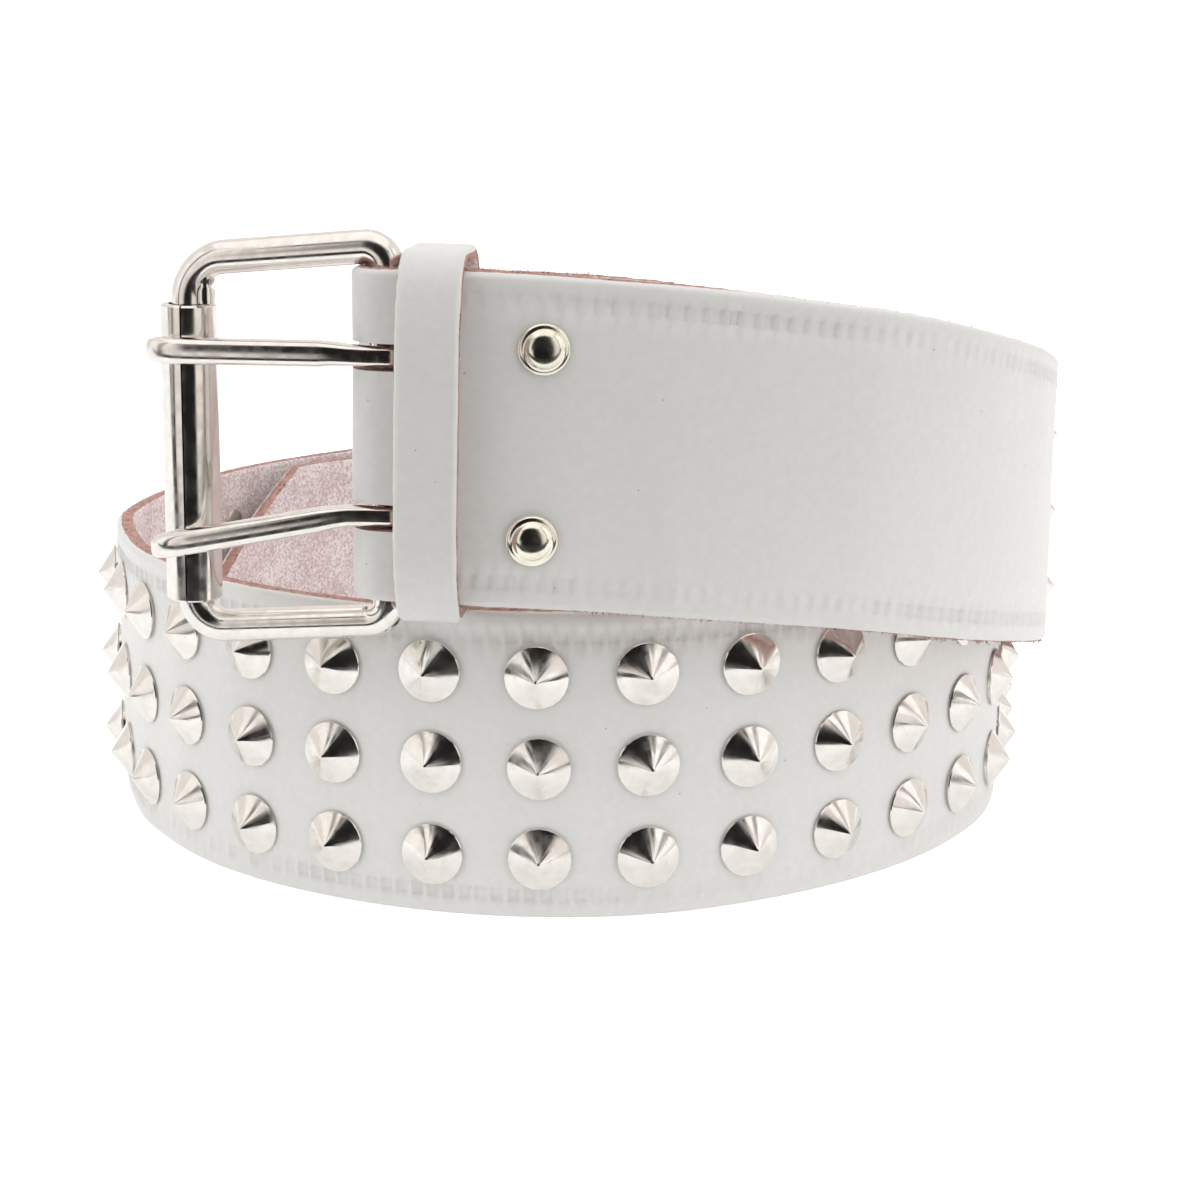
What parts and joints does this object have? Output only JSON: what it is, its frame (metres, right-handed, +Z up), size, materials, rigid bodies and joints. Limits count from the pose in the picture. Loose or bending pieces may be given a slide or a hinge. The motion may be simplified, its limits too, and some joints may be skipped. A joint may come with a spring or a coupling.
{
  "type": "studded belt",
  "caption": "Coiled wide leather belt with rows of cone studs, a two-prong roller buckle, a leather keeper and a folded riveted end.",
  "frame": {"origin": "centre of the coil's box, on the surface that its lower edge stands on", "axes": "+Z up, -Y the side with the buckle, +X to the right seen from there"},
  "size_m": [0.185, 0.1966, 0.1088],
  "materials": {
    "strap_leather": "satin",
    "keeper_leather": "satin",
    "rivet_metal": "polished",
    "buckle_metal": "polished"
  },
  "bodies": {
    "strap": {"studded_strap": "strap_leather", "keeper_loop": "keeper_leather", "rivet_upper": "rivet_metal", "rivet_lower": "rivet_metal"},
    "frame": {"buckle_frame": "buckle_metal"},
    "roller": {"roller": "buckle_metal"},
    "prong_upper": {"prong_upper": "buckle_metal"},
    "prong_lower": {"prong_lower": "buckle_metal"}
  },
  "joints": [
    {"name": "frame_pivot", "type": "hinge", "parent": "strap", "child": "frame", "pos_m": [-0.03144, -0.0846, 0.07752], "axis": [0.0164, -0.0039, 0.9999], "range_deg": [0, 26]},
    {"name": "roller_spin", "type": "hinge", "parent": "frame", "child": "roller", "pos_m": [-0.06263, -0.07717, 0.07416], "axis": [0.0164, -0.0039, 0.9999], "continuous": true},
    {"name": "prong_upper_swing", "type": "hinge", "parent": "frame", "child": "prong_upper", "pos_m": [-0.03144, -0.0846, 0.07752], "axis": [0.0164, -0.0039, 0.9999], "range_deg": [0, 47]},
    {"name": "prong_lower_swing", "type": "hinge", "parent": "frame", "child": "prong_lower", "pos_m": [-0.03144, -0.0846, 0.07752], "axis": [0.0164, -0.0039, 0.9999], "range_deg": [0, 47]}
  ]
}
